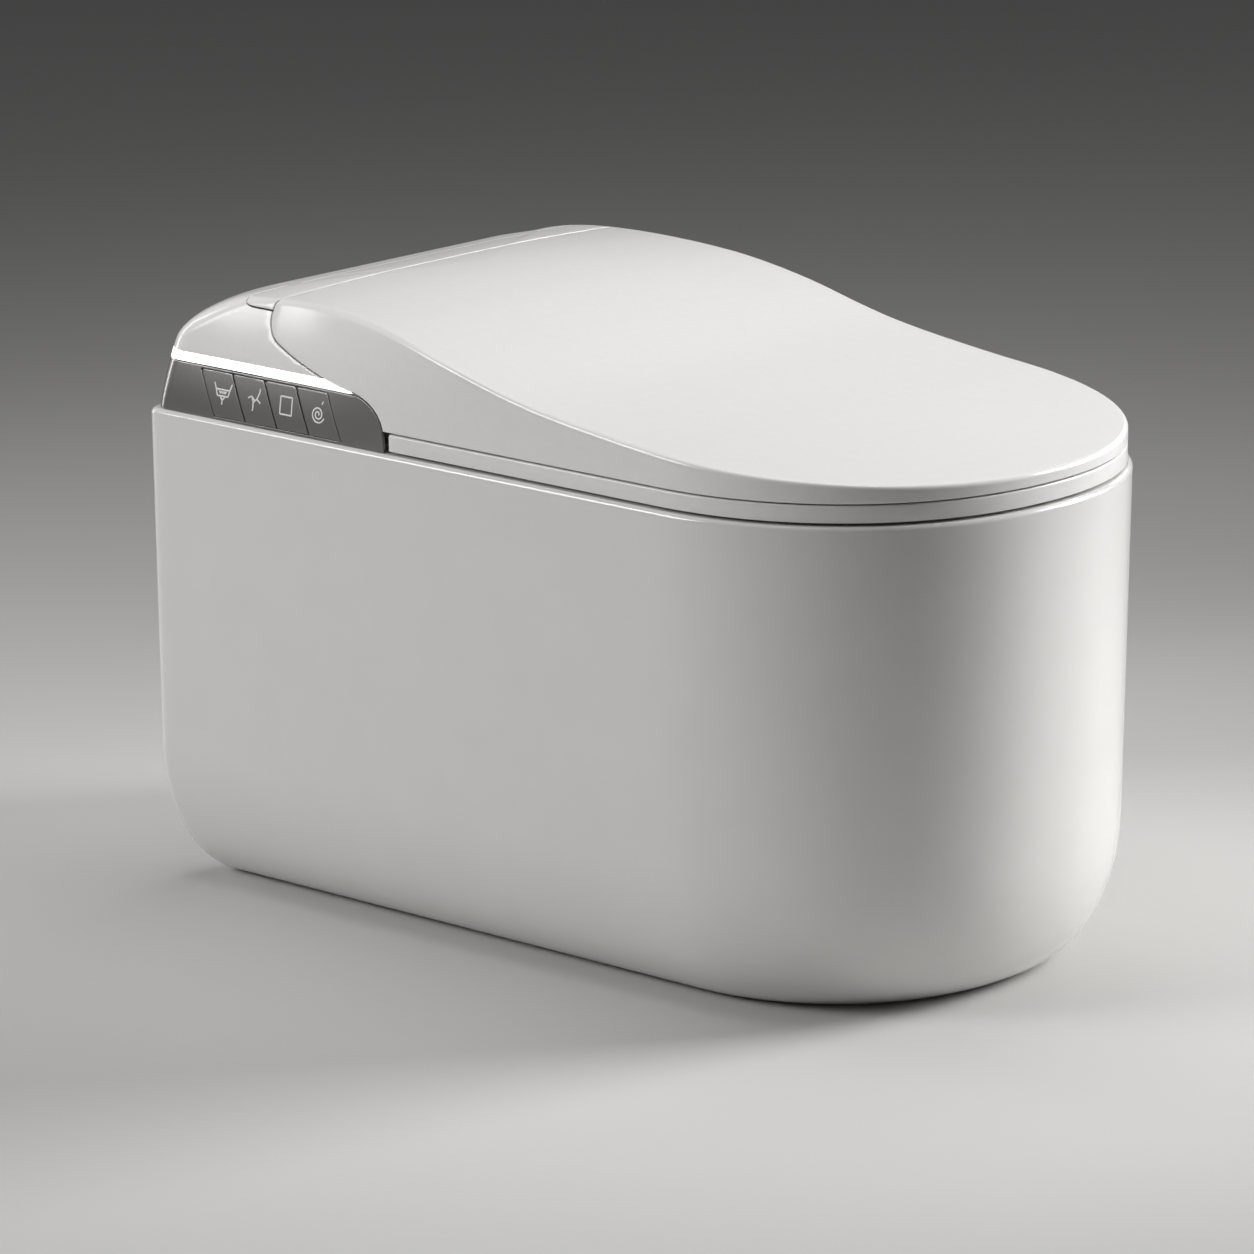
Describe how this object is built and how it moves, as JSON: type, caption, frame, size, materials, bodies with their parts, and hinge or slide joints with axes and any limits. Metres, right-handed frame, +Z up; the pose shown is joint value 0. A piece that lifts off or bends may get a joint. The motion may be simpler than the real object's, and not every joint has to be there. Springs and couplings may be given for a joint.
{
  "type": "electric bidet toilet",
  "caption": "Skirted ceramic toilet with built-in electric bidet seat: domed lid, heated seat ring, retracting spray wand, dryer, side key panel and glowing light bar.",
  "frame": {"origin": "on the floor, under the middle of the object's footprint box", "axes": "+Z up, -Y to the front where the user sits down, -X to the user's right, the side with the keys"},
  "size_m": [0.4198, 0.7099, 0.4663],
  "materials": {
    "glazed_ceramic": "glossy off-white glaze",
    "white_gloss_plastic": "polished white ABS",
    "white_satin_plastic": "satin white polypropylene",
    "dark_lacquer": "warm dark-grey metallic lacquer on moulded plastic",
    "light_guide": "frosted white light guide, lit from inside",
    "grey_plastic": "moulded grey glass-filled plastic",
    "black_plastic": "moulded black plastic",
    "rubber": "soft light-grey silicone rubber",
    "steel": "satin stainless steel",
    "brass": "machined brass",
    "heater_film": "amber polyimide film with a printed heating track",
    "circuit_board": "green solder mask"
  },
  "bodies": {
    "pan": {"ceramic_pan": "glazed_ceramic", "rear_top_cover": "white_gloss_plastic", "housing_shell": "white_gloss_plastic", "pocket_hood": "white_gloss_plastic", "rear_service_panel": "white_satin_plastic", "inner_cover": "white_satin_plastic", "control_panel": "dark_lacquer", "panel_trim_right": "dark_lacquer", "light_bar_left": "light_guide", "light_bar_right": "light_guide", "base_plate": "grey_plastic", "lid_drive_left": "grey_plastic", "lid_drive_right": "grey_plastic", "wand_guide": "grey_plastic", "air_duct": "grey_plastic", "heater_tank": "grey_plastic", "heater_tank_lid": "grey_plastic", "blower_housing": "black_plastic", "water_pump": "black_plastic", "inlet_valve": "black_plastic", "flush_valve": "black_plastic", "power_supply": "black_plastic", "cord_gland": "black_plastic", "wand_hose": "rubber", "supply_riser": "rubber", "flush_pipe": "rubber", "floor_bracket_left": "steel", "floor_bracket_right": "steel", "deck_bolt_left": "steel", "deck_bolt_right": "steel", "seat_damper_left": "steel", "seat_damper_right": "steel", "wand_motor": "steel", "gate_pin": "steel", "blower_motor": "steel", "heating_element": "steel", "water_inlet": "brass", "key_board": "circuit_board", "controller_board": "circuit_board"},
    "lid": {"lid_shell": "white_gloss_plastic", "lid_liner": "white_satin_plastic", "lid_buffer_left": "rubber", "lid_buffer_right": "rubber"},
    "seat": {"seat_top": "white_gloss_plastic", "seat_base": "white_satin_plastic", "seat_heater_film": "heater_film", "seat_buffer_front_left": "rubber", "seat_buffer_front_right": "rubber", "seat_buffer_rear_left": "rubber", "seat_buffer_rear_right": "rubber"},
    "front_wash_key": {"key_front_wash": "dark_lacquer"},
    "rear_wash_key": {"key_rear_wash": "dark_lacquer"},
    "stop_key": {"key_stop": "dark_lacquer"},
    "flush_key": {"key_flush": "dark_lacquer"},
    "wand": {"spray_wand": "white_satin_plastic", "wand_tip": "steel"},
    "wand_gate": {"wand_gate": "white_gloss_plastic"},
    "drive_pinion": {"wand_pinion": "white_satin_plastic"},
    "air_flap": {"air_flap": "white_gloss_plastic"},
    "impeller": {"blower_impeller": "grey_plastic"}
  },
  "joints": [
    {"name": "lid_hinge", "type": "hinge", "parent": "pan", "child": "lid", "pos_m": [0, 0.216, 0.449], "axis": [-1, 0, 0], "range_deg": [0, 92]},
    {"name": "seat_hinge", "type": "hinge", "parent": "pan", "child": "seat", "pos_m": [0, 0.118, 0.391], "axis": [-1, 0, 0], "range_deg": [0, 88.2]},
    {"name": "front_wash_press", "type": "slide", "parent": "pan", "child": "front_wash_key", "axis": [1, 0, 0], "range_m": [0, 0.001], "stiffness_N_per_m": 800, "springref_m": -0.0005},
    {"name": "rear_wash_press", "type": "slide", "parent": "pan", "child": "rear_wash_key", "axis": [1, 0, 0], "range_m": [0, 0.001], "stiffness_N_per_m": 800, "springref_m": -0.0005},
    {"name": "stop_press", "type": "slide", "parent": "pan", "child": "stop_key", "axis": [1, 0, 0], "range_m": [0, 0.001], "stiffness_N_per_m": 800, "springref_m": -0.0005},
    {"name": "flush_press", "type": "slide", "parent": "pan", "child": "flush_key", "axis": [1, 0, 0], "range_m": [0, 0.001], "stiffness_N_per_m": 800, "springref_m": -0.0005},
    {"name": "wand_slide", "type": "slide", "parent": "pan", "child": "wand", "axis": [0, -0.866, -0.5], "range_m": [0, 0.06]},
    {"name": "wand_gate_hinge", "type": "hinge", "parent": "pan", "child": "wand_gate", "pos_m": [-0.022, 0.106, 0.362], "axis": [-1, 0, 0], "range_deg": [0, 78.5]},
    {"name": "pinion_spin", "type": "hinge", "parent": "pan", "child": "drive_pinion", "pos_m": [-0.022, 0.16252, 0.39311], "axis": [-1, 0, 0], "range_deg": [0, 430]},
    {"name": "air_flap_hinge", "type": "hinge", "parent": "pan", "child": "air_flap", "pos_m": [0.056, 0.106, 0.362], "axis": [-1, 0, 0], "range_deg": [0, 60]},
    {"name": "impeller_spin", "type": "hinge", "parent": "pan", "child": "impeller", "pos_m": [0.086, 0.215, 0.39], "axis": [0, 0, 1], "continuous": true}
  ],
  "couplings": [
    {"joint": "seat_hinge", "follows": "lid_hinge", "ratio": 0.95652},
    {"joint": "wand_gate_hinge", "follows": "wand_slide", "rad_per_m": 22.689},
    {"joint": "pinion_spin", "follows": "wand_slide", "rad_per_m": 125}
  ]
}
